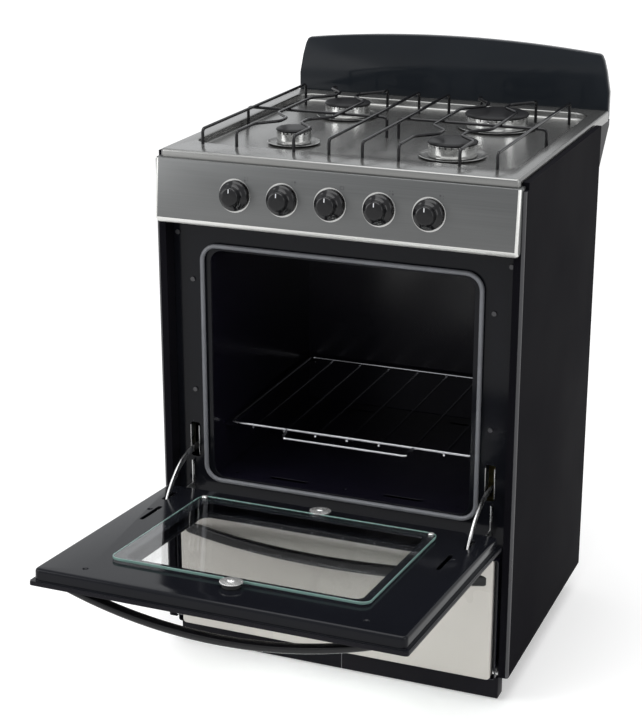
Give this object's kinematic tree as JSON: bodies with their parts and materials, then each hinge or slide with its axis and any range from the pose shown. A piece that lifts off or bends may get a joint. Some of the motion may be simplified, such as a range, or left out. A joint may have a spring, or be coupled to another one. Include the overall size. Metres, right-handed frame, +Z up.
{
  "type": "gas cooker",
  "caption": "Free-standing gas cooker with four burners, an oven with its door open, a lower storage door and a black backguard.",
  "frame": {"origin": "centre of the bounding box's bottom face, on the floor, with the oven door open as stored", "axes": "+X to the right seen from the front, +Y from the front to the back, +Z up"},
  "size_m": [0.56, 0.9672, 0.9049],
  "materials": {
    "black_enamel": "gloss",
    "oven_enamel": "satin",
    "grey_steel": "satin",
    "stainless": "brushed",
    "pale_enamel": "satin",
    "chrome": "polished",
    "zinc": "satin",
    "brass": "satin",
    "aluminium": "satin",
    "cap_enamel": "satin",
    "support_enamel": "gloss",
    "black_plastic": "gloss",
    "grey_plastic": "satin",
    "clear_glass": "clear",
    "seal_rubber": "matte",
    "foot_rubber": "matte",
    "wool": "matte"
  },
  "bodies": {
    "cooker": {"side_panel_left": "black_enamel", "side_panel_right": "black_enamel", "back_panel": "grey_steel", "base_plate": "grey_steel", "front_frame": "black_enamel", "plinth_left": "black_enamel", "plinth_right": "black_enamel", "feet": "foot_rubber", "hob_top": "stainless", "control_panel": "stainless", "backguard": "black_enamel", "rear_duct": "black_enamel", "oven_liner": "oven_enamel", "oven_floor_plate": "oven_enamel", "oven_burner": "grey_steel", "oven_rack": "chrome", "rack_rails": "oven_enamel", "door_gasket": "seal_rubber", "insulation": "wool", "oven_flue": "grey_steel", "hinge_brackets": "zinc", "hinge_pins": "zinc", "storage_liner": "oven_enamel", "knob_bezels": "chrome", "gas_valves": "brass", "gas_manifold": "grey_steel", "gas_tubes": "aluminium", "burner_cups": "grey_steel", "burner_crowns": "aluminium", "burner_cap_front_left": "cap_enamel", "burner_cap_front_right": "cap_enamel", "burner_cap_rear_left": "cap_enamel", "burner_cap_rear_right": "cap_enamel", "burner_saucers": "chrome", "grate_left": "support_enamel", "grate_right": "support_enamel", "frame_screws": "zinc"},
    "oven_door": {"door_inner_panel": "oven_enamel", "door_outer_panel": "black_enamel", "door_inner_glass": "clear_glass", "door_outer_glass": "clear_glass", "glass_clips": "chrome", "door_handle": "black_plastic", "door_handle_ends": "grey_plastic", "hinge_arm_left": "zinc", "hinge_arm_right": "zinc"},
    "lower_door": {"lower_door_panel": "pale_enamel", "lower_door_liner": "oven_enamel", "lower_door_handle": "black_plastic", "lower_handle_ends": "grey_plastic"},
    "stem_1": {"valve_stem_1": "brass"},
    "turning_knob_1": {"knob_1": "black_plastic"},
    "stem_2": {"valve_stem_2": "brass"},
    "turning_knob_2": {"knob_2": "black_plastic"},
    "stem_3": {"valve_stem_3": "brass"},
    "turning_knob_3": {"knob_3": "black_plastic"},
    "stem_4": {"valve_stem_4": "brass"},
    "turning_knob_4": {"knob_4": "black_plastic"},
    "stem_5": {"valve_stem_5": "brass"},
    "turning_knob_5": {"knob_5": "black_plastic"}
  },
  "joints": [
    {"name": "oven_door_hinge", "type": "hinge", "parent": "cooker", "child": "oven_door", "pos_m": [0, -0.0576, 0.2653], "axis": [-1, 0, 0], "range_deg": [0, 85]},
    {"name": "lower_door_hinge", "type": "hinge", "parent": "cooker", "child": "lower_door", "pos_m": [0, -0.0547, 0.052], "axis": [1, 0, 0], "range_deg": [0, 80]},
    {"name": "press_1", "type": "slide", "parent": "cooker", "child": "stem_1", "axis": [0, 0.9951, -0.0993], "range_m": [0, 0.003], "stiffness_N_per_m": 1500, "springref_m": -0.001},
    {"name": "turn_1", "type": "hinge", "parent": "stem_1", "child": "turning_knob_1", "pos_m": [-0.1466, -0.06904, 0.74533], "axis": [0, -0.9951, 0.0993], "range_deg": [0, 210]},
    {"name": "press_2", "type": "slide", "parent": "cooker", "child": "stem_2", "axis": [0, 0.9951, -0.0993], "range_m": [0, 0.003], "stiffness_N_per_m": 1500, "springref_m": -0.001},
    {"name": "turn_2", "type": "hinge", "parent": "stem_2", "child": "turning_knob_2", "pos_m": [-0.0733, -0.06904, 0.74533], "axis": [0, -0.9951, 0.0993], "range_deg": [0, 210]},
    {"name": "press_3", "type": "slide", "parent": "cooker", "child": "stem_3", "axis": [0, 0.9951, -0.0993], "range_m": [0, 0.003], "stiffness_N_per_m": 1500, "springref_m": -0.001},
    {"name": "turn_3", "type": "hinge", "parent": "stem_3", "child": "turning_knob_3", "pos_m": [0, -0.06904, 0.74533], "axis": [0, -0.9951, 0.0993], "range_deg": [0, 210]},
    {"name": "press_4", "type": "slide", "parent": "cooker", "child": "stem_4", "axis": [0, 0.9951, -0.0993], "range_m": [0, 0.003], "stiffness_N_per_m": 1500, "springref_m": -0.001},
    {"name": "turn_4", "type": "hinge", "parent": "stem_4", "child": "turning_knob_4", "pos_m": [0.0733, -0.06904, 0.74533], "axis": [0, -0.9951, 0.0993], "range_deg": [0, 210]},
    {"name": "press_5", "type": "slide", "parent": "cooker", "child": "stem_5", "axis": [0, 0.9951, -0.0993], "range_m": [0, 0.003], "stiffness_N_per_m": 1500, "springref_m": -0.001},
    {"name": "turn_5", "type": "hinge", "parent": "stem_5", "child": "turning_knob_5", "pos_m": [0.1466, -0.06904, 0.74533], "axis": [0, -0.9951, 0.0993], "range_deg": [0, 210]}
  ]
}
